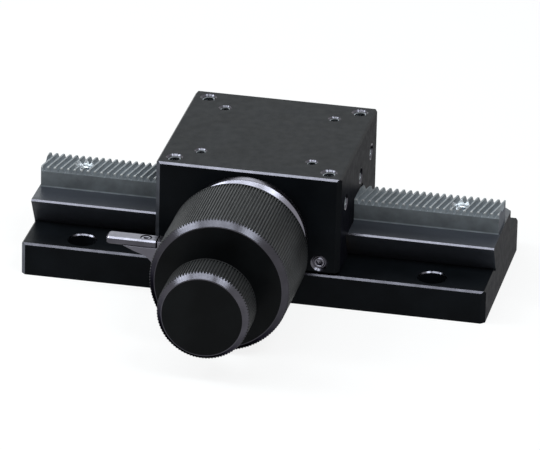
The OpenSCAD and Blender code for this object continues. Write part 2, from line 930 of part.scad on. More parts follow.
// Lock ring on the boss, with the lug that carries its lever
ring_edge = 0.8;
lug_reach_share = 0.88;
lug_step_gap = 0.45;
module lock_ring() {
    r = lock_d / 2;
    color(silver)
        parked()
            difference() {
                union() {
                    turned(0, knob_z, [
                        [boss_r + slide_gap, lock_s0], [r - ring_edge, lock_s0],
                        [r, lock_s0 + ring_edge], [r, lock_s1 - ring_edge],
                        [r - ring_edge, lock_s1], [boss_r + slide_gap, lock_s1]
                    ]);
                    forward(0, knob_z - lug_drop, lever_s0, lever_s1)
                        lug_outline(r);
                }
                translate([-lever_screw_x(), -(lever_s0 + lever_s1) / 2, knob_z - lug_drop - lever_thread_h])
                    cylinder(r = lever_screw_d / 2 + seat_gap, h = lever_thread_h + over);
            }
}

// The lug's seat and step, then its flared lower edge in shares of its reach and of the ring's radius
module lug_outline(r) {
    reach = lever_reach * lug_reach_share;
    step = lever_reach * lever_end_share - lug_step_gap;
    flare_shares = [
        [1, 0.01], [0.96, 0.025], [0.9, 0.085], [0.85, 0.117], [0.803, 0.15], [0.78, 0.185],
        [0.748, 0.25], [0.735, 0.285], [0.6, 0.42], [0.5, 0.47]
    ];
    polygon(concat(
        [[-r / 2, lever_t], [-step, lever_t], [-step, 0], [-reach, 0]],
        [for (p = flare_shares) [-reach * p[0], -r * p[1]]],
        [[-r / 2, -r / 2]]
    ));
}

lever_screw_d = 2;
lever_head_d = 3.8;
lever_head_h = 1.3;
lever_head_sink = 0.15;
lever_thread_h = 2.2;
lever_round = 1.3;
lever_bevel = 0.3;
function lever_screw_x() = lever_reach * lever_screw_share;

module lock_lever() {
    low = knob_z - lug_drop;
    end = lever_reach * lever_end_share;
    c = lever_bevel;
    color(silver)
        parked()
            difference() {
                intersection() {
                    forward(0, low, lever_s0, lever_s1)
                        polygon([
                            [-end, 0], [-end, lever_t], [-lever_reach + c, lever_t],
                            [-lever_reach, lever_t - c], [-lever_reach, c], [-lever_reach + c, 0]
                        ]);
                    translate([0, 0, low - over])
                        linear_extrude(lever_t + 2 * over)
                            lever_plan(end);
                }
                translate([-lever_screw_x(), -(lever_s0 + lever_s1) / 2, low]) {
                    translate([0, 0, -over])
                        cylinder(r = lever_screw_d / 2 + mesh_gap, h = lever_t + 2 * over);
                    translate([0, 0, lever_t - lever_head_h - lever_head_sink])
                        cylinder(r = lever_head_d / 2 + mesh_gap, h = lever_t);
                }
            }
}

// The lever seen from above, with a rounded tip
module lever_plan(end) {
    r = lever_round;
    for (s = [lever_s0 + r, lever_s1 - r])
        translate([-lever_reach + r, -s])
            circle(r);
    translate([-lever_reach, -lever_s1 + r])
        square([lever_reach - end, lever_w - 2 * r]);
    translate([-lever_reach + r, -lever_s1])
        square([lever_reach - r - end, lever_w]);
}

module lever_screw() {
    seat = lever_t - lever_head_h - lever_head_sink;
    color(bright_steel)
        parked()
            translate([-lever_screw_x(), -(lever_s0 + lever_s1) / 2, knob_z - lug_drop + seat])
                cap_screw(lever_screw_d, lever_head_d, lever_head_h, seat + lever_thread_h - seat_gap);
}

module brake_washer() {
    inset = 1.5;
    color(bronze)
        parked()
            tube(0, knob_z, lock_s1, lock_s1 + washer_t, cavity_r, lock_d / 2 - inset);
}

base_rail();
rack();
rack_screws();
carriage_block();
gib();
gib_screws();
gear_cover();
gear_cover_screws();
knob_shaft_bush();
front_pinion_bush();
rear_pinion_bush();
rear_cap();
race_cup();
ball_race();
race_nut();
pinion_shaft();
rack_pinion();
pinion_gear();
retaining_ring();
ball_carrier();
drive_gear();
reduction_balls();
coarse_knob();
coarse_set_screw();
fine_shaft_bush();
fine_shaft();
fine_knob();
fine_set_screw();
lock_ring();
lock_lever();
lever_screw();
brake_washer();
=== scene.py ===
"""Looks of a dovetail stage with coarse and fine knobs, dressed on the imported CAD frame.

Lengths are written in millimetres and turned into metres where they reach Blender. The rail runs
along X, the knobs point to -Y, and the middle of the rail's underside is the origin.
"""

import json
import math

import bmesh
import bpy
from mathutils import Matrix, Vector


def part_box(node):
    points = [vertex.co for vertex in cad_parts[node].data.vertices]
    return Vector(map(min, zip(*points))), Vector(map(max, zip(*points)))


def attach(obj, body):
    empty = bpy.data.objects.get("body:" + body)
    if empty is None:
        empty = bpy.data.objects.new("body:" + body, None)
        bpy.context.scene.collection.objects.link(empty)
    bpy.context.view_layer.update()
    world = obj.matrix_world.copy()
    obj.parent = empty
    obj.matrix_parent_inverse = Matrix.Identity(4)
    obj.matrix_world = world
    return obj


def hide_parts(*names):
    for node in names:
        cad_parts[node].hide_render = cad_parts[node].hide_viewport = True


MM = 0.001

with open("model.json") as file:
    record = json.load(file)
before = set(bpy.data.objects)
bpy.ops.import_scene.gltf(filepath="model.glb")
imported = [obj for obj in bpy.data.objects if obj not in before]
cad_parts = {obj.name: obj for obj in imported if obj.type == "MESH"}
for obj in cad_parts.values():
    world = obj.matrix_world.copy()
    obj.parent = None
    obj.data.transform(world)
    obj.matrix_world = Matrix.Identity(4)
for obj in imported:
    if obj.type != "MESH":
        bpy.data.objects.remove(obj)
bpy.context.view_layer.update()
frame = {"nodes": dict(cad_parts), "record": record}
nodes = frame["nodes"]


def box_mm(node):
    """Lowest and highest corner of a CAD node, in millimetres."""
    low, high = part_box(node)
    return low / MM, high / MM


def half_width_mm(node):
    """Half of a CAD node's length along X, which is the radius of a turned one."""
    low, high = box_mm(node)
    return (high.x - low.x) / 2


# ---- Photograph's view ----

PHOTO_WIDTH_PX = 540
FOCAL_PX = 6465.2
SENSOR_MM = 36.0
AZIMUTH, ELEVATION, ROLL = (math.radians(v) for v in (11.47, 24.16, 1.33))
DISTANCE_MM = 2080.4
TARGET_MM = Vector((-0.48, 0.0, 12.70))


def direction(azimuth, elevation):
    """Unit vector from the object towards a viewer at these angles."""
    return Vector((
        math.sin(azimuth) * math.cos(elevation),
        -math.cos(azimuth) * math.cos(elevation),
        math.sin(elevation),
    ))


def make_camera():
    back = direction(AZIMUTH, ELEVATION)
    right = Vector((math.cos(AZIMUTH), math.sin(AZIMUTH), 0))
    up = back.cross(right)
    rolled_right = right * math.cos(ROLL) + up * math.sin(ROLL)
    rolled_up = up * math.cos(ROLL) - right * math.sin(ROLL)
    data = bpy.data.cameras.new("photo_view")
    data.sensor_width = SENSOR_MM
    data.lens = SENSOR_MM * FOCAL_PX / PHOTO_WIDTH_PX
    data.clip_start, data.clip_end = 0.1, 50
    camera = bpy.data.objects.new("photo_view", data)
    turn = Matrix((rolled_right, rolled_up, back)).transposed().to_4x4()
    camera.matrix_world = Matrix.Translation((TARGET_MM + back * DISTANCE_MM) * MM) @ turn
    bpy.context.scene.collection.objects.link(camera)
    bpy.context.scene.camera = camera


# ---- Node helpers for materials ----

class Shader:
    """A Principled material with procedural colour, roughness and bump."""

    def __init__(self, name, metallic, specular=0.5):
        self.material = bpy.data.materials.new(name)
        self.material.use_nodes = True
        self.tree = self.material.node_tree
        self.surface = self.tree.nodes["Principled BSDF"]
        self.surface.inputs["Metallic"].default_value = metallic
        self.surface.inputs["Specular IOR Level"].default_value = specular
        self.coordinates = self.node("ShaderNodeTexCoord").outputs["Object"]

    def node(self, kind, **settings):
        made = self.tree.nodes.new(kind)
        for key, value in settings.items():
            setattr(made, key, value)
        return made

    def link(self, source, target):
        self.tree.links.new(source, target)

    def stretched(self, stretch):
        """Object coordinates scaled by a factor along each axis."""
        mapping = self.node("ShaderNodeMapping")
        mapping.inputs["Scale"].default_value = stretch
        self.link(self.coordinates, mapping.inputs["Vector"])
        return mapping.outputs["Vector"]

    def noise(self, scale, detail, stretch=(1, 1, 1)):
        texture = self.node("ShaderNodeTexNoise")
        texture.inputs["Scale"].default_value = scale
        texture.inputs["Detail"].default_value = detail
        self.link(self.stretched(stretch), texture.inputs["Vector"])
        return texture.outputs["Fac"]

    def ramp(self, source, low, high, start=0.35, end=0.65):
        """Colours from low to high as the source goes from start to end."""
        made = self.node("ShaderNodeValToRGB")
        made.color_ramp.elements[0].position, made.color_ramp.elements[1].position = start, end
        made.color_ramp.elements[0].color = (*low, 1)
        made.color_ramp.elements[1].color = (*high, 1)
        self.link(source, made.inputs["Fac"])
        return made.outputs["Color"]

    def colour(self, source):
        self.link(source, self.surface.inputs["Base Color"])

    def rough(self, source, low, high):
        spread = self.node("ShaderNodeMapRange")
        spread.inputs["From Min"].default_value, spread.inputs["From Max"].default_value = 0.3, 0.7
        spread.inputs["To Min"].default_value, spread.inputs["To Max"].default_value = low, high
        self.link(source, spread.inputs["Value"])
        self.link(spread.outputs["Result"], self.surface.inputs["Roughness"])

    def along(self, axis, start_mm, end_mm):
        """0 to 1 as the object coordinate on one axis goes from start to end."""
        parts = self.node("ShaderNodeSeparateXYZ")
        self.link(self.coordinates, parts.inputs["Vector"])
        spread = self.node("ShaderNodeMapRange")
        spread.inputs["From Min"].default_value = start_mm * MM
        spread.inputs["From Max"].default_value = end_mm * MM
        self.link(parts.outputs[axis], spread.inputs["Value"])
        return spread.outputs["Result"]

    def product(self, *sources):
        total = sources[0]
        for source in sources[1:]:
            times = self.node("ShaderNodeMath", operation="MULTIPLY")
            self.link(total, times.inputs[0])
            self.link(source, times.inputs[1])
            total = times.outputs[0]
        return total

    def mixed(self, factor, first, second):
        """The first colour where the factor is 0, and the second where it is 1."""
        mix = self.node("ShaderNodeMix", data_type="RGBA")
        self.link(factor, mix.inputs["Factor"])
        for name, source in (("A", first), ("B", second)):
            socket = [i for i in mix.inputs if i.name == name and i.type == "RGBA"][0]
            self.link(source, socket)
        return [o for o in mix.outputs if o.type == "RGBA"][0]

    def bump(self, source, height_mm):
        made = self.node("ShaderNodeBump")
        made.inputs["Strength"].default_value = 1.0
        made.inputs["Distance"].default_value = height_mm * MM
        self.link(source, made.inputs["Height"])
        self.link(made.outputs["Normal"], self.surface.inputs["Normal"])


def grey(level, tint=(1.0, 1.0, 1.0)):
    return tuple(level * t for t in tint)


def shades(low, high, tint=(1.0, 1.0, 1.0)):
    """Two greys of one tint, between which a material's colour varies."""
    return grey(low, tint), grey(high, tint)


def blasted(name, low, high, rough, specular):
    """Dark anodised aluminium, blasted to a fine even grain."""
    shader = Shader(name, metallic=0.0, specular=specular)
    shader.colour(shader.ramp(shader.noise(90, 4), low, high))
    shader.rough(shader.noise(400, 3), *rough)
    shader.bump(shader.noise(5200, 2), 0.004)
    return shader.material


def machined(name, low, high, rough, stretch=(1, 1, 1), marks=0.003, slant=1.0):
    """Bare metal with tool marks of a height in millimetres, long on the axis of the small factor.

    Slant is the share of its shine that is left at low angles.
    """
    shader = Shader(name, metallic=1.0)
    shader.surface.inputs["Specular Tint"].default_value = (slant, slant, slant, 1)
    shader.colour(shader.ramp(shader.noise(220, 4), low, high))
    shader.rough(shader.noise(600, 3), *rough)
    shader.bump(shader.noise(1500, 2, stretch), marks)
    return shader.material


def ground(name, low, high):
    """Dark anodised slideway, ground along the rail before it was anodised."""
    shader = Shader(name, metallic=0.0, specular=0.2)
    shader.colour(shader.ramp(shader.noise(160, 4, (0.12, 1, 1)), low, high))
    shader.rough(shader.noise(500, 3, (0.1, 1, 1)), 0.34, 0.44)
    shader.bump(shader.noise(3800, 2, (0.04, 1, 1)), 0.002)
    return shader.material


def toothed_steel(name, front_mm, foot_mm, tip_mm):
    """Blackened rack steel. Its tooth gaps are painted paler, painted light against the shade that
    falls in them; it takes the same paler colour along its foot, and its front tooth corners carry
    a painted highlight.
    """
    shader = Shader(name, metallic=0.0, specular=0.35)
    body = shader.ramp(shader.noise(260, 4), *shades(0.12, 0.17, COOL))
    tips = shader.ramp(shader.noise(320, 4), *shades(0.17, 0.23, COOL))
    # Painted light: the tooth gaps are painted paler than the tips, against the shade in them.
    painted_lit_roots = shader.ramp(shader.noise(320, 4), *shades(0.27, 0.36, COOL))
    glint_paint = shader.ramp(shader.noise(900, 2), *shades(0.35, 0.7))
    teeth = shader.mixed(shader.along("Z", tip_mm - 1.5, tip_mm - 0.1), painted_lit_roots, tips)
    colour = shader.mixed(shader.along("Z", tip_mm - 1.75, tip_mm - 1.6), body, teeth)
    # The same paler colour runs along the foot.
    foot = shader.along("Z", foot_mm + 0.6, foot_mm + 0.35)
    colour = shader.mixed(foot, colour, painted_lit_roots)
    # Painted highlight: the front corners of the tooth tips are painted bright, as glints.
    corner = shader.product(
        shader.along("Y", front_mm + 0.75, front_mm + 0.1),
        shader.along("Z", tip_mm - 0.55, tip_mm - 0.1),
    )
    shader.colour(shader.mixed(corner, colour, glint_paint))
    shader.rough(shader.noise(600, 3), 0.36, 0.5)
    shader.bump(shader.noise(2400, 2, (1, 0.2, 1)), 0.003)
    return shader.material


COOL = (0.92, 1.0, 1.08)
BLUE = (0.88, 0.96, 1.18)
LILAC = (1.0, 0.97, 1.14)
DYE = (0.8, 0.97, 1.22)
DEEP = (0.9, 0.93, 1.4)
FINE = 0.001
RACK_LOW, RACK_HIGH = box_mm("rack")

# Blacks
anodised = blasted("black_anodised", *shades(0.0042, 0.0066, DYE), (0.36, 0.44), 0.038)
# A copy of the anodising with less shine, for the end faces: painted shade that makes them darker
# than the top.
shaded_end_black = blasted("shaded_end_anodised", *shades(0.0042, 0.0068, DEEP), (0.36, 0.44), 0.006)
edge_black = blasted("edge_black", *shades(0.005, 0.008, BLUE), (0.3, 0.4), 0.07)
knob_black = blasted("knob_black", *shades(0.005, 0.008, COOL), (0.3, 0.36), 0.05)
knurled = blasted("knurled_anodised", *shades(0.008, 0.013, COOL), (0.4, 0.48), 0.16)
# A darker copy of the knurled anodising for the fine knob: painted shade.
shaded_fine_knurled = blasted("shaded_fine_knurled_anodised", *shades(0.006, 0.01, COOL), (0.4, 0.48), 0.1)
slideway = ground("ground_slideway", *shades(0.038, 0.05, BLUE))

# Edges where the black is cut away, and a darker copy of them that paints shade
cut_edge = machined("cut_edge", *shades(0.08, 0.095, LILAC), (0.2, 0.25), marks=FINE)
# A darker copy of the cut edge for the flange's front edges: painted shade that dims their
# highlight.
shaded_flange_edge = machined("shaded_flange_edge", *shades(0.04, 0.055, LILAC), (0.2, 0.25), marks=FINE)
# Bare metal on the left upright corners only, where the light catches them: a painted sheen, with
# the right corners left black.
sheen_corner_edge = machined("sheen_corner_edge", *shades(0.05, 0.09, BLUE), (0.3, 0.4), marks=FINE)
rim_edge = machined("rim_edge", *shades(0.075, 0.09, LILAC), (0.16, 0.22), marks=FINE)
knob_edge = machined("knob_edge", *shades(0.042, 0.052, LILAC), (0.2, 0.26), marks=FINE, slant=0.05)
fine_edge = machined(
    "fine_knob_edge", *shades(0.06, 0.075, LILAC), (0.2, 0.26), marks=FINE, slant=0.05)
bare_thread = machined("bare_thread", *shades(0.16, 0.22, COOL), (0.2, 0.3), marks=FINE)

# Steel and bronze
rack_steel = toothed_steel("rack_steel", RACK_LOW.y, RACK_LOW.z, RACK_HIGH.z)
# A darker copy of the rack's steel for its end faces: painted shade.
shaded_rack_end = blasted("shaded_rack_end", *shades(0.08, 0.11, BLUE), (0.4, 0.5), 0.02)
bare_wall = machined("bare_wall", *shades(0.9, 0.99), (0.3, 0.4), marks=FINE)
dark_steel = machined("dark_steel", *shades(0.05, 0.09, COOL), (0.3, 0.4))
screw_black = machined("screw_black", *shades(0.14, 0.19, LILAC), (0.24, 0.32), marks=FINE)
bright_steel = machined("bright_steel", *shades(0.5, 0.62, COOL), (0.16, 0.26))
bronze = machined("bronze", (0.42, 0.26, 0.11), (0.55, 0.36, 0.17), (0.25, 0.35))

# Lock
silver = machined("silver_aluminium", *shades(0.105, 0.132, LILAC), (0.3, 0.4))
turned_silver = machined(
    "turned_silver", *shades(0.16, 0.19, LILAC), (0.24, 0.3), stretch=(1, 0.1, 1), marks=FINE)
# A brighter copy of the silver for chamfers and bevels: painted highlight.
highlight_silver = machined("highlight_silver", *shades(0.14, 0.18, LILAC), (0.2, 0.26), marks=FINE)
# A darker copy of the silver for the lever's front faces: painted shade.
shaded_lever_front = machined("shaded_lever_front", *shades(0.066, 0.084, LILAC), (0.3, 0.4))

FINISHES = {
    "black_anodised": anodised, "knurled_aluminium": knurled, "silver_aluminium": silver,
    "rack_steel": rack_steel, "dark_steel": dark_steel, "bright_steel": bright_steel,
    "bronze": bronze,
}


def finish_nodes():
    """Gives each CAD node the material of its slot in the record."""
    for row in frame["record"]["subparts"]:
        mesh = nodes[row["node"]].data
        mesh.materials.clear()
        mesh.materials.append(FINISHES[row["material_slot"]])


def paint_faces(node, material, wanted):
    """Gives another material to the node's faces whose centre (mm) and normal pass a test."""
    mesh = nodes[node].data
    mesh.materials.append(material)
    index = len(mesh.materials) - 1
    for face in mesh.polygons:
        if wanted(face.center / MM, face.normal):
            face.material_index = index


LEAN = math.sqrt(0.5)
LEAN_SPREAD = 0.03
END_LEAN = 0.98 * LEAN
FLANGE_TOP = 11.0
EDGE_ZONE = 1.0
RIM_ZONE = 0.8
END_EDGE_ZONE = 0.7
RACK_HEAD = 5.5


def is_chamfer(normal):
    """Whether a face leans 45 degrees up, and not towards an end."""
    return abs(normal.z - LEAN) < LEAN_SPREAD and abs(normal.x) < END_LEAN


def is_end_chamfer(normal):
    """Whether a face leans 45 degrees up, towards an end."""
    return abs(normal.z - LEAN) < LEAN_SPREAD and abs(normal.x) > END_LEAN


def is_left_corner(normal):
    """Whether a face cuts off an upright corner of the left end."""
    return abs(normal.x + LEAN) < LEAN_SPREAD and abs(normal.z) < LEAN_SPREAD


def is_end(normal):
    return abs(normal.x) > 0.99


def paint_rail():
    high = box_mm("base_rail")[1]

    def at_flange_top(centre):
        return abs(centre.z - FLANGE_TOP) < EDGE_ZONE

    def slide_face(centre, normal):
        return centre.z > FLANGE_TOP + 0.1 and abs(normal.x) < 0.1

    def flange_edge(centre, normal):
        at_side = abs(centre.y) > high.y - EDGE_ZONE
        return is_chamfer(normal) and at_flange_top(centre) and at_side

    def other_edge(centre, normal):
        inside = abs(centre.y) < high.y - EDGE_ZONE
        return is_chamfer(normal) and centre.z > FLANGE_TOP - EDGE_ZONE and inside

    def counterbore_rim(centre, normal):
        return other_edge(centre, normal) and at_flange_top(centre)

    def end_edge(centre, normal):
        return is_end_chamfer(normal) and abs(centre.x) > high.x - EDGE_ZONE

    def flange_corner(centre, normal):
        return is_left_corner(normal) and centre.z < FLANGE_TOP

    # The end faces take the duller copy of the anodising, painted shade.
    paint_faces("base_rail", shaded_end_black, lambda centre, normal: is_end(normal))
    paint_faces("base_rail", slideway, slide_face)
    # The flange's front edges take the darker copy, painted shade.
    paint_faces("base_rail", shaded_flange_edge, flange_edge)
    paint_faces("base_rail", cut_edge, other_edge)
    paint_faces("base_rail", rim_edge, counterbore_rim)
    paint_faces("base_rail", edge_black, end_edge)
    # Only the left corners take the bare metal, painted sheen.
    paint_faces("base_rail", sheen_corner_edge, flange_corner)


def paint_carriage():
    low, high = box_mm("carriage_block")
    middle_x = (low.x + high.x) / 2
    half = high.x - middle_x

    def from_middle(centre):
        return abs(centre.x - middle_x)

    def long_edge(centre, normal):
        return is_chamfer(normal) and abs(normal.x) < 0.1 and abs(centre.y) > high.y - EDGE_ZONE

    def top_hole_rim(centre, normal):
        on_top = centre.z > high.z - RIM_ZONE and normal.z > 0.6
        inside = abs(centre.y) < high.y - EDGE_ZONE and from_middle(centre) < half - EDGE_ZONE
        return on_top and inside

    def end_hole_rim(centre, normal):
        on_end = from_middle(centre) > half - RIM_ZONE and abs(normal.x) > 0.6
        inside = centre.z < high.z - EDGE_ZONE and abs(centre.y) < high.y - 2 * EDGE_ZONE
        return on_end and inside

    def hole_rim(centre, normal):
        slanted = 0.6 < max(abs(normal.z), abs(normal.x)) < 0.8
        return slanted and (top_hole_rim(centre, normal) or end_hole_rim(centre, normal))

    def end_edge(centre, normal):
        at_end = from_middle(centre) > half - END_EDGE_ZONE and centre.z > high.z - END_EDGE_ZONE
        return at_end and abs(normal.z - LEAN) < LEAN_SPREAD and abs(normal.y) < 0.1

    def gib_countersink(centre, normal):
        low_in_front = centre.y < low.y + RIM_ZONE and centre.z < low.z + 8
        return low_in_front and 0.6 < -normal.y < 0.8 and abs(centre.x) < high.x - 2

    # The end faces take the duller copy of the anodising, painted shade.
    paint_faces("carriage_block", shaded_end_black, lambda centre, normal: is_end(normal))
    paint_faces("carriage_block", cut_edge, long_edge)
    # Only the left corners take the bare metal, painted sheen.
    paint_faces("carriage_block", sheen_corner_edge, lambda centre, normal: is_left_corner(normal))
    paint_faces("carriage_block", rim_edge, hole_rim)
    paint_faces("carriage_block", rim_edge, gib_countersink)
    paint_faces("carriage_block", edge_black, end_edge)


def paint_rack():
    """The counterbores were cut after the rack was blackened, so their walls are bright."""
    centre_x = box_mm("rack_screws")[1].x - RACK_HEAD / 2

    def counterbore_wall(centre, normal):
        away = math.hypot(abs(centre.x) - centre_x, centre.y)
        return away < RACK_HEAD / 2 + 0.6 and abs(normal.z) < 0.2

    def end_face(centre, normal):
        return abs(centre.x) > RACK_HIGH.x - 0.1 and abs(normal.x) > 0.9

    paint_faces("rack", bare_wall, counterbore_wall)
    # The end faces take the darker copy of the steel, painted shade.
    paint_faces("rack", shaded_rack_end, end_face)


# ---- Mesh helpers ----

MERGE_M = 1e-7
DRILL_STEPS = 32


def add_piece(name, mesh, materials, body):
    """A new piece of the object, riding on a CAD body."""
    for material in materials:
        mesh.materials.append(material)
    piece = bpy.data.objects.new(name, mesh)
    bpy.context.scene.collection.objects.link(piece)
    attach(piece, body)
    return piece


def at_step(value, step):
    """A value that is either plain or worked out for each step round a ring."""
    return value(step) if callable(value) else value


class Lathe:
    """Rings of points about an axis, in millimetres, which become one turned mesh."""

    def __init__(self, origin, axis, steps):
        turn = Vector((0, 0, 1)).rotation_difference(Vector(axis))
        unit = ((1, 0, 0), (0, 1, 0), (0, 0, 1))
        self.origin = Vector(origin)
        self.across, self.up, self.axis = (turn @ Vector(v) for v in unit)
        self.steps = steps
        self.rows = []

    def outward(self, step):
        """Unit vector away from the axis at this step round a ring."""
        angle = 2 * math.pi * step / self.steps
        return self.across * math.cos(angle) + self.up * math.sin(angle)

    def ring(self, along, radius):
        row = []
        for step in range(self.steps):
            out = self.outward(step) * at_step(radius, step)
            row.append(self.origin + self.axis * at_step(along, step) + out)
        self.rows.append(row)

    def rings(self, *places):
        for along, radius in places:
            self.ring(along, radius)

    def mesh(self, name, closed=False, crease_degrees=28):
        """The mesh through all rings; the last ring joins the first if it is closed."""
        points = [p * MM for row in self.rows for p in row]
        faces = []
        count = self.steps
        for i in range(len(self.rows) if closed else len(self.rows) - 1):
            near, far = i * count, (i + 1) % len(self.rows) * count
            for j in range(count):
                k = (j + 1) % count
                faces.append((near + j, near + k, far + k, far + j))
        mesh = bpy.data.meshes.new(name)
        mesh.from_pydata(points, [], faces)
        cleaned(mesh, crease_degrees)
        return mesh


def cleaned(mesh, crease_degrees):
    """Merges doubled points, turns the faces outwards and smooths all edges but the creases."""
    edit = bmesh.new()
    edit.from_mesh(mesh)
    bmesh.ops.remove_doubles(edit, verts=edit.verts, dist=MERGE_M)
    bmesh.ops.recalc_face_normals(edit, faces=edit.faces)
    limit = math.radians(crease_degrees)
    for face in edit.faces:
        face.smooth = True
    for edge in edit.edges:
        if len(edge.link_faces) == 2 and edge.calc_face_angle() > limit:
            edge.smooth = False
    edit.to_mesh(mesh)
    edit.free()


def capped(name, rings, crease_degrees=28):
    """A closed mesh through rings of points in millimetres, with a face over each end."""
    count = len(rings[0])
    faces = [tuple(range(count))[::-1], tuple(range((len(rings) - 1) * count, len(rings) * count))]
    for near in range(0, (len(rings) - 1) * count, count):
        for j in range(count):
            k = (j + 1) % count
            faces.append((near + j, near + k, near + count + k, near + count + j))
    mesh = bpy.data.meshes.new(name)
    mesh.from_pydata([Vector(p) * MM for ring in rings for p in ring], [], faces)
    cleaned(mesh, crease_degrees)
    return mesh


def drill(origin, axis, *places):
    """A cutter turned about an axis through these places along it and radii, in millimetres."""
    tool = Lathe(origin, axis, DRILL_STEPS)
    tool.ring(places[0][0], 0)
    tool.rings(*places)
    tool.ring(places[-1][0], 0)
    return tool.mesh("drill")


def drilled(mesh, tool_mesh, crease_degrees):
    """The mesh with the tool's mesh cut out of it."""
    body, tool = (bpy.data.objects.new(m.name, m) for m in (mesh, tool_mesh))
    for piece in (body, tool):
        bpy.context.scene.collection.objects.link(piece)
    cut = body.modifiers.new("cut", "BOOLEAN")
    cut.operation, cut.solver, cut.object = "DIFFERENCE", "EXACT", tool
    bpy.context.view_layer.update()
    depsgraph = bpy.context.evaluated_depsgraph_get()
    made = bpy.data.meshes.new_from_object(body.evaluated_get(depsgraph))
    for piece in (body, tool):
        data = piece.data
        bpy.data.objects.remove(piece)
        bpy.data.meshes.remove(data)
    cleaned(made, crease_degrees)
    return made


def joined(name, meshes):
    """One mesh from several."""
    edit = bmesh.new()
    for mesh in meshes:
        edit.from_mesh(mesh)
        bpy.data.meshes.remove(mesh)
    made = bpy.data.meshes.new(name)
    edit.to_mesh(made)
    edit.free()
    return made


def soften(piece, width, material):
    """Bevels the piece's sharp edges by a width in millimetres, in one of its materials."""
    bevel = piece.modifiers.new("soft_edges", "BEVEL")
    bevel.width = width * MM
    bevel.segments = 1
    bevel.limit_method = "ANGLE"
    bevel.angle_limit = math.radians(40)
    bevel.harden_normals = True
    bevel.material = material


# ---- Knobs ----

KNURL_STEPS = 6
KNURL_CREST = 0.42
KNURL_DEPTH = 0.42
KNURL_RIM = 0.7
KNURL_ROUND = 0.7
FIT_GAP = 0.01
HOLE_SPARE = 0.2


def knurl_at(step):
    """How deep the knurl is at this step of a ridge, from 0 on its crest to the full depth."""
    share = step % KNURL_STEPS / KNURL_STEPS
    if share < KNURL_CREST:
        return 0.0
    swing = math.pi * (share - KNURL_CREST) / (1 - KNURL_CREST)
    return KNURL_DEPTH * math.sin(swing) ** KNURL_ROUND


class Knob(Lathe):
    """A knob turned about its CAD node's axis, with a knurled band cut off by a front chamfer."""

    def __init__(self, body, ridges):
        self.body, self.node = body, f"{body}_knob"
        low, high = box_mm(self.node)
        self.radius = half_width_mm(self.node)
        self.rear, self.front = -high.y, -low.y
        middle = ((low.x + high.x) / 2, 0, (low.z + high.z) / 2)
        super().__init__(middle, (0, -1, 0), ridges * KNURL_STEPS)

    def band(self, start, end, tip_radius, bevel=0.3, cuts=5):
        """The knurl from start to end along the axis, with a plain rim behind it.

        The front chamfer runs down to the tip radius and leaves the ridges scalloped.
        """
        slope = (self.radius - KNURL_DEPTH - tip_radius) / (self.front - end)
        crest = end - KNURL_DEPTH / slope

        def knurl(step):
            return self.radius - knurl_at(step)

        self.rings((start, self.radius - bevel), (start + bevel, self.radius),
                   (start + KNURL_RIM, self.radius), (start + KNURL_RIM, knurl))
        for k in range(cuts + 1):
            along = crest + (end - crest) * k / cuts
            cone = self.radius - (along - crest) * slope
            self.ring(along, lambda step, cone=cone: min(knurl(step), cone))
        round_off = bevel / 2
        self.rings((self.front - round_off, tip_radius + round_off * slope),
                   (self.front, tip_radius - round_off))
        self.chamfer = (crest, tip_radius - bevel)

    def finish(self, band_material, edge_material, closed):
        """The knob's piece, with the hole of its set screw."""
        screw_low, screw_high = box_mm(f"{self.body}_set_screw")
        middle = (screw_low + screw_high) / 2
        hole_radius = (screw_high.y - screw_low.y) / 2 + FIT_GAP
        start, end = self.origin.z - screw_high.z - HOLE_SPARE, self.radius + 2
        tool = drill((self.origin.x, middle.y, self.origin.z), (0, 0, -1),
                     (start, hole_radius), (end, hole_radius))
        name = f"{self.node}_knurled"
        mesh = drilled(self.mesh(name, closed), tool, crease_degrees=12)
        materials = [band_material, edge_material, knob_black]
        piece = add_piece(name, mesh, materials, self.body)
        crest, inner = self.chamfer
        for face in mesh.polygons:
            away = face.center / MM - self.origin
            reach = math.hypot(away.x, away.z)
            on_chamfer = -away.y > crest and reach > inner and 0.3 < -face.normal.y < 0.95
            if on_chamfer:
                face.material_index = 1
            elif abs(face.normal.y) > 0.95 or reach < inner - 4:
                face.material_index = 2
        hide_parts(self.node)


COARSE_RIDGES, COARSE_CHAMFER, COARSE_TIP = 144, 1.65, 20.4
COARSE_NECK = 6
CUP_GAP, CUP_END_GAP = 1, 1.4
FINE_RIDGES, FINE_CHAMFER, FINE_TIP = 92, 1.45, 12.9
FINE_NECK, FINE_NECK_LENGTH = 8.0, 10.1


def make_coarse_knob():
    """The coarse knob, hollow behind its neck, where the race cup sits."""
    knob = Knob("coarse", COARSE_RIDGES)
    cavity = half_width_mm("race_cup") + CUP_GAP
    cavity_end = -box_mm("race_cup")[0].y + CUP_END_GAP
    neck, neck_end = COARSE_NECK + FIT_GAP, -box_mm("ball_carrier")[0].y
    bush = half_width_mm("fine_shaft_bush") + FIT_GAP
    knob.rings((knob.front, bush), (neck_end, bush), (neck_end, neck), (cavity_end, neck),
               (cavity_end, cavity), (knob.rear, cavity))
    knob.band(knob.rear, knob.front - COARSE_CHAMFER, COARSE_TIP)
    knob.finish(knurled, knob_edge, closed=True)


def make_fine_knob():
    """The fine knob, bored for its shaft, with a neck behind its knurled band."""
    knob = Knob("fine", FINE_RIDGES)
    bore, bore_end = half_width_mm("fine_shaft") + FIT_GAP, -box_mm("fine_shaft")[0].y
    band_start = knob.rear + FINE_NECK_LENGTH
    knob.rings((bore_end, 0), (bore_end, bore), (knob.rear, bore), (knob.rear, FINE_NECK),
               (band_start, FINE_NECK))
    knob.band(band_start, knob.front - FINE_CHAMFER, FINE_TIP)
    knob.ring(knob.front, 0)
    # The fine knob takes the darker knurled copy, painted shade.
    knob.finish(shaded_fine_knurled, fine_edge, closed=False)


# ---- Lock ----

LEVER_ROUND = 1.3
LEVER_ROUND_STEPS = 8
LEVER_UNDER, LEVER_TOP_CHAMFER = 0.3, 0.5
LEVER_HEAD = 1.3
LEVER_HOLE = 1.01


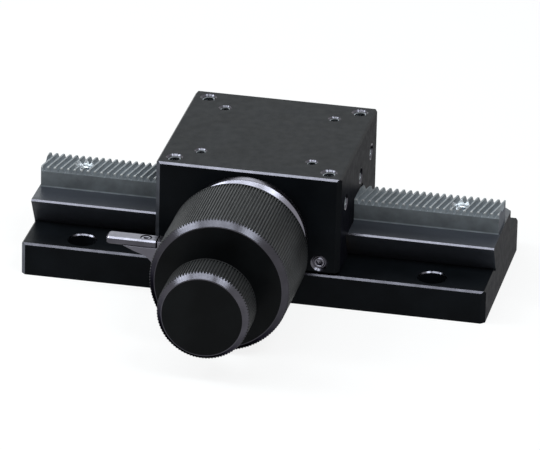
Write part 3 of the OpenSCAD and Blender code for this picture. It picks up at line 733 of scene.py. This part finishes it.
def make_lever():
    """The arm of the lock, with a rounded tip, its top chamfers in a brighter silver as a painted
    highlight, and its front faces in a darker one as painted shade.
    """
    low, high = box_mm("lock_lever")
    screw_low, screw_high = box_mm("lever_screw")

    def plan(z, inset):
        ring = [(high.x, low.y + inset, z)]
        radius = LEVER_ROUND - inset
        for y, start in ((low.y + LEVER_ROUND, -90), (high.y - LEVER_ROUND, 180)):
            for step in range(LEVER_ROUND_STEPS + 1):
                angle = math.radians(start - step * 90 / LEVER_ROUND_STEPS)
                ring.append((low.x + LEVER_ROUND + radius * math.cos(angle),
                             y + radius * math.sin(angle), z))
        return ring + [(high.x, high.y - inset, z)]

    rings = [plan(low.z, LEVER_UNDER), plan(low.z + LEVER_UNDER, 0),
             plan(high.z - LEVER_TOP_CHAMFER, 0), plan(high.z, LEVER_TOP_CHAMFER)]
    middle = (screw_low + screw_high) / 2
    head = half_width_mm("lever_screw") + FIT_GAP
    seat = screw_high.z - LEVER_HEAD
    tool = drill((middle.x, middle.y, 0), (0, 0, 1), (low.z - 1, LEVER_HOLE), (seat, LEVER_HOLE),
                 (seat, head), (high.z + 1, head))
    mesh = drilled(capped("lever_arm", rings), tool, crease_degrees=20)
    materials = [silver, highlight_silver, shaded_lever_front]
    piece = add_piece("lever_arm", mesh, materials, "lock")
    for face in mesh.polygons:
        # Top chamfers take the brighter copy, painted highlight.
        if 0.5 < face.normal.z < 0.9:
            face.material_index = 1
        # Front faces take the darker copy, painted shade.
        elif face.normal.y < -0.5:
            face.material_index = 2
    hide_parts("lock_lever")


RING_STEPS = 180
RING_BORE = 8.54
RING_REAR_EDGE, RING_FRONT_EDGE, RING_LUG_CUT = 0.4, 0.5, 0.3
CONE_START, CONE_END, CONE_DEPTH = 2.9, 4.8, 1.9
LUG_SECTOR = (math.radians(-125), math.radians(-68))
LUG_REACH, LUG_STEP, LUG_DROP = 38.37, 26.93, 4.2
LUG_FLARE = (
    (0.96, 0.035), (0.9, 0.085), (0.85, 0.117), (0.803, 0.15), (0.78, 0.185), (0.748, 0.25),
    (0.735, 0.285), (0.6, 0.42), (0.5, 0.47),
)


def make_lug(x0, z0, full):
    """The flared lug that carries the lever, from inside the ring out to the left."""
    low, high = box_mm("lock_lever")
    foot, thick = z0 - LUG_DROP, high.z - low.z
    outline = [(-full / 2, thick), (-LUG_STEP, thick), (-LUG_STEP, 0), (-LUG_REACH, 0)]
    outline += [(-LUG_REACH * a, -full * b) for a, b in LUG_FLARE] + [(-full / 2, -full / 2)]
    sides = [[(x0 + x, y, foot + z) for x, z in outline] for y in (low.y, high.y)]
    return capped("lug", sides, crease_degrees=10)


def make_lock_ring():
    """The lock's ring, turned to a cone in front, but left full round its lug."""
    low, high = box_mm("lock_ring")
    knob_low, knob_high = box_mm("coarse_knob")
    x0, z0 = (knob_low.x + knob_high.x) / 2, (knob_low.z + knob_high.z) / 2
    full = high.x - x0
    rear, front = -high.y, -low.y
    ring = Lathe((x0, 0, z0), (0, -1, 0), RING_STEPS)

    def turned(depth):
        """The radius at each step, cut to a depth but for the sector that meets the lug."""
        def at(step):
            out = ring.outward(step)
            by_lug = LUG_SECTOR[0] < math.atan2(out.x, out.z) < LUG_SECTOR[1]
            return full - (RING_LUG_CUT if by_lug else depth)
        return at

    ring.rings((rear, full - RING_REAR_EDGE), (rear + RING_REAR_EDGE, full),
               (rear + CONE_START, full), (rear + CONE_END, turned(CONE_DEPTH)),
               (front - RING_FRONT_EDGE, turned(CONE_DEPTH)),
               (front, turned(CONE_DEPTH + RING_FRONT_EDGE)), (front, RING_BORE),
               (rear, RING_BORE))
    parts = [ring.mesh("ring", closed=True, crease_degrees=20), make_lug(x0, z0, full)]
    mesh = joined("lock_ring_turned", parts)
    materials = [turned_silver, silver, highlight_silver]
    piece = add_piece("lock_ring_turned", mesh, materials, "lock")
    for face in mesh.polygons:
        centre = face.center / MM
        on_lug = math.hypot(centre.x - x0, centre.z - z0) > full + 0.05
        if on_lug or abs(face.normal.y) > 0.99:
            face.material_index = 1
    # The bevels take the brighter copy of the silver, painted highlight.
    soften(piece, width=0.2, material=2)
    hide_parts("lock_ring")


# ---- Screws and threads ----

SCREW_STEPS = 72


def hexagon(across_flats):
    """Radius at each step of a screw's ring, so that the ring is a hexagon."""
    def radius(step):
        away = math.radians((step * 360 / SCREW_STEPS) % 60 - 30)
        return across_flats / 2 / math.cos(away)
    return radius


def cap_screw(seat, axis, head, height, socket, length, shank):
    """A socket head screw: a rounded, finely ridged head with a chamfered hexagonal socket."""
    screw = Lathe(seat, axis, SCREW_STEPS)
    radius, bevel = head / 2, head * 0.06
    floor, hollow = height * 0.45, hexagon(socket)
    grooves = 0.03 * radius

    def side(step):
        return radius - (grooves if step % 3 == 0 else 0)

    screw.rings((floor, 0), (floor, hollow), (height - bevel / 2, hollow),
                (height, lambda step: hollow(step) + bevel / 2),
                (height, radius - bevel * 2), (height - bevel, radius - bevel * 0.5),
                (height - bevel * 2, side), (0, side), (0, shank / 2),
                (-length, shank / 2), (-length, 0))
    return screw.mesh("screw", crease_degrees=35)


def set_screw(mouth, axis, diameter, socket, length, tip):
    """A headless screw with a hexagonal socket and a blunt tip."""
    screw = Lathe(mouth, axis, SCREW_STEPS)
    radius, hollow = diameter / 2, hexagon(socket)
    lip, edge = 0.12, 0.4
    screw.rings((-0.5 * diameter, 0), (-0.4 * diameter, hollow), (-lip, hollow),
                (0, lambda step: hollow(step) + lip), (0, radius - 0.5),
                (-edge, radius - 0.1), (-edge, radius), (tip - length, radius),
                (-length, tip), (-length, 0))
    return screw.mesh("screw", crease_degrees=30)


THREAD_STEPS = 28
THREAD_PROFILE = (0.0, 0.1, 1.0, 0.9)
THREAD_SINK = 0.02


def thread(mouth, axis, radius, pitch, start):
    """An internal thread that runs inward from its start below the mouth."""
    rows = Lathe(mouth, axis, THREAD_STEPS)
    ridge = 0.5 * pitch
    for i in range(int((HOLE_DEPTH - start) / pitch * 4)):
        inward = THREAD_PROFILE[i % 4] * ridge

        def along(step, i=i):
            return -min(start + (i / 4 + step / THREAD_STEPS) * pitch, HOLE_DEPTH)

        rows.ring(along, radius - inward + THREAD_SINK)
    return rows.mesh("thread", crease_degrees=20)


def make_screws():
    """Detailed screws for the ones that show: on the rack, beside the gib and on the lever."""
    low, high = box_mm("rack_screws")
    height = 3.0
    seat = high.z - height
    made = [cap_screw((sx * (high.x - RACK_HEAD / 2), 0, seat), (0, 0, 1), head=RACK_HEAD,
                      height=height, socket=2.5, length=seat - low.z, shank=3.0)
            for sx in (-1, 1)]
    mesh = joined("rack_cap_screws", made)
    piece = add_piece("rack_cap_screws", mesh, [bright_steel], "base")
    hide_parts("rack_screws")

    low, high = box_mm("gib_screws")
    diameter = 4.0
    made = [set_screw((x, low.y, (low.z + high.z) / 2), (0, -1, 0), diameter=diameter,
                      socket=2.0, length=high.y - low.y, tip=1.0)
            for x in (low.x + diameter / 2, high.x - diameter / 2)]
    mesh = joined("gib_set_screws", made)
    piece = add_piece("gib_set_screws", mesh, [screw_black], "carriage")
    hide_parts("gib_screws")

    low, high = box_mm("lever_screw")
    middle = (low + high) / 2
    seat = high.z - LEVER_HEAD
    mesh = cap_screw((middle.x, middle.y, seat), (0, 0, 1), head=high.x - low.x,
                     height=LEVER_HEAD, socket=1.5, length=seat - low.z, shank=2.0)
    piece = add_piece("lever_cap_screw", mesh, [screw_black], "lock")
    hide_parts("lever_screw")


# Each ring of four holes in the top by its distance from the middle along X and Y, radius and pitch
TOP_HOLES = ((25.0, 2.0, 0.7), (18.0, 1.5, 0.5))
# Each hole of an end by its place along Y and its depth below the top
END_HOLES = ((20.0, 11.0), (3.0, 12.2), (-21.0, 11.0))
END_RADIUS, END_PITCH = 2.0, 0.7
HOLE_DEPTH = 8.0


def make_threads():
    """Threads in the carriage's tapped holes."""
    low, high = box_mm("carriage_block")
    x0, half = (low.x + high.x) / 2, half_width_mm("carriage_block")
    made = []
    for away, radius, pitch in TOP_HOLES:
        for sx in (-1, 1):
            for sy in (-1, 1):
                mouth = (x0 + sx * away, sy * away, high.z)
                made.append(thread(mouth, (0, 0, 1), radius, pitch, start=0.25))
    for sx in (-1, 1):
        for y, drop in END_HOLES:
            mouth = (x0 + sx * half, y, high.z - drop)
            made.append(thread(mouth, (sx, 0, 0), END_RADIUS, END_PITCH, start=0.3))
    mesh = joined("hole_threads", made)
    add_piece("hole_threads", mesh, [bare_thread], "carriage")


# ---- Stage and lights ----

WHITE = (1, 1, 1, 1)
FLOOR_HALF_M = 6.0
FLOOR_GAP_M = 5e-5
FLOOR_SHADOW = 0.22
FLOOR_ALBEDO = 0.82
FLOOR_GLOW = 1.1
WORLD_FILL = 0.12


def stage_node(tree, kind, **inputs):
    made = tree.nodes.new(kind)
    for name, value in inputs.items():
        made.inputs[name].default_value = value
    return made


def mix_shaders(tree, first, second):
    """The first shader where the factor is 0, and the second where it is 1."""
    mix = tree.nodes.new("ShaderNodeMixShader")
    tree.links.new(first.outputs[0], mix.inputs[1])
    tree.links.new(second.outputs[0], mix.inputs[2])
    return mix


def finish_stage_tree(tree, output, plain, seen):
    """Ends a tree: camera, glossy and transmission rays meet the seen shader, others the plain."""
    path = tree.nodes.new("ShaderNodeLightPath")
    total = path.outputs["Is Camera Ray"]
    for name in ("Is Glossy Ray", "Is Transmission Ray"):
        either = tree.nodes.new("ShaderNodeMath")
        either.operation = "MAXIMUM"
        tree.links.new(total, either.inputs[0])
        tree.links.new(path.outputs[name], either.inputs[1])
        total = either.outputs[0]
    choice = mix_shaders(tree, plain, seen)
    tree.links.new(total, choice.inputs["Fac"])
    tree.links.new(choice.outputs[0], tree.nodes.new(output).inputs["Surface"])


def make_floor():
    mesh = bpy.data.meshes.new("floor")
    corners = [(x * FLOOR_HALF_M, y * FLOOR_HALF_M, -FLOOR_GAP_M)
               for x, y in ((-1, -1), (1, -1), (1, 1), (-1, 1))]
    mesh.from_pydata(corners, [], [(0, 1, 2, 3)])
    floor = bpy.data.objects.new("floor", mesh)
    bpy.context.scene.collection.objects.link(floor)

    material = bpy.data.materials.new("floor_white")
    material.use_nodes = True
    tree = material.node_tree
    tree.nodes.clear()
    pale = stage_node(tree, "ShaderNodeBsdfDiffuse", Color=(*grey(FLOOR_ALBEDO), 1))
    glow = stage_node(tree, "ShaderNodeEmission", Color=WHITE, Strength=FLOOR_GLOW)
    seen = mix_shaders(tree, glow, pale)
    seen.inputs["Fac"].default_value = FLOOR_SHADOW
    finish_stage_tree(tree, "ShaderNodeOutputMaterial", pale, seen)
    mesh.materials.append(material)


def make_world():
    world = bpy.data.worlds.new("studio")
    bpy.context.scene.world = world
    world.use_nodes = True
    tree = world.node_tree
    tree.nodes.clear()
    fill, white = (stage_node(tree, "ShaderNodeBackground", Color=WHITE, Strength=strength)
                   for strength in (WORLD_FILL, 1.0))
    finish_stage_tree(tree, "ShaderNodeOutputWorld", fill, white)


COOL_LIGHT = (0.89, 0.97, 1.0)


def softbox(name, towards, distance_m, width_m, height_m, luminance, across=(1, 0, 0)):
    """An area lamp of this luminance that faces the object, with its width along a direction."""
    data = bpy.data.lights.new(name, "AREA")
    data.shape = "RECTANGLE"
    data.size, data.size_y = width_m, height_m
    data.energy = luminance * math.pi * width_m * height_m
    data.color = COOL_LIGHT
    lamp = bpy.data.objects.new(name, data)
    z = Vector(towards).normalized()
    x = (Vector(across) - z * z.dot(Vector(across))).normalized()
    turn = Matrix((x, z.cross(x), z)).transposed().to_4x4()
    lamp.matrix_world = Matrix.Translation(z * distance_m) @ turn
    bpy.context.scene.collection.objects.link(lamp)


def make_lights():
    along = (1, -0.15, 0.13)
    softbox("key_middle", (-0.18, -0.41, 0.89), 0.8, 0.5, 0.13, 6.5, along)
    softbox("key_left", (-0.71, -0.18, 0.68), 1.0, 0.4, 0.3, 12.0, along)
    softbox("key_right", (0.43, -0.34, 0.84), 1.0, 0.35, 0.3, 10.0, along)
    softbox("back_box", (-0.18, 0.89, 0.45), 1.2, 1.6, 0.6, 1.25)


bpy.context.scene.view_settings.view_transform = "Standard"
make_camera()
make_floor()
make_world()
make_lights()
finish_nodes()
paint_rail()
paint_carriage()
paint_rack()
make_coarse_knob()
make_fine_knob()
make_lock_ring()
make_lever()
make_screws()
make_threads()
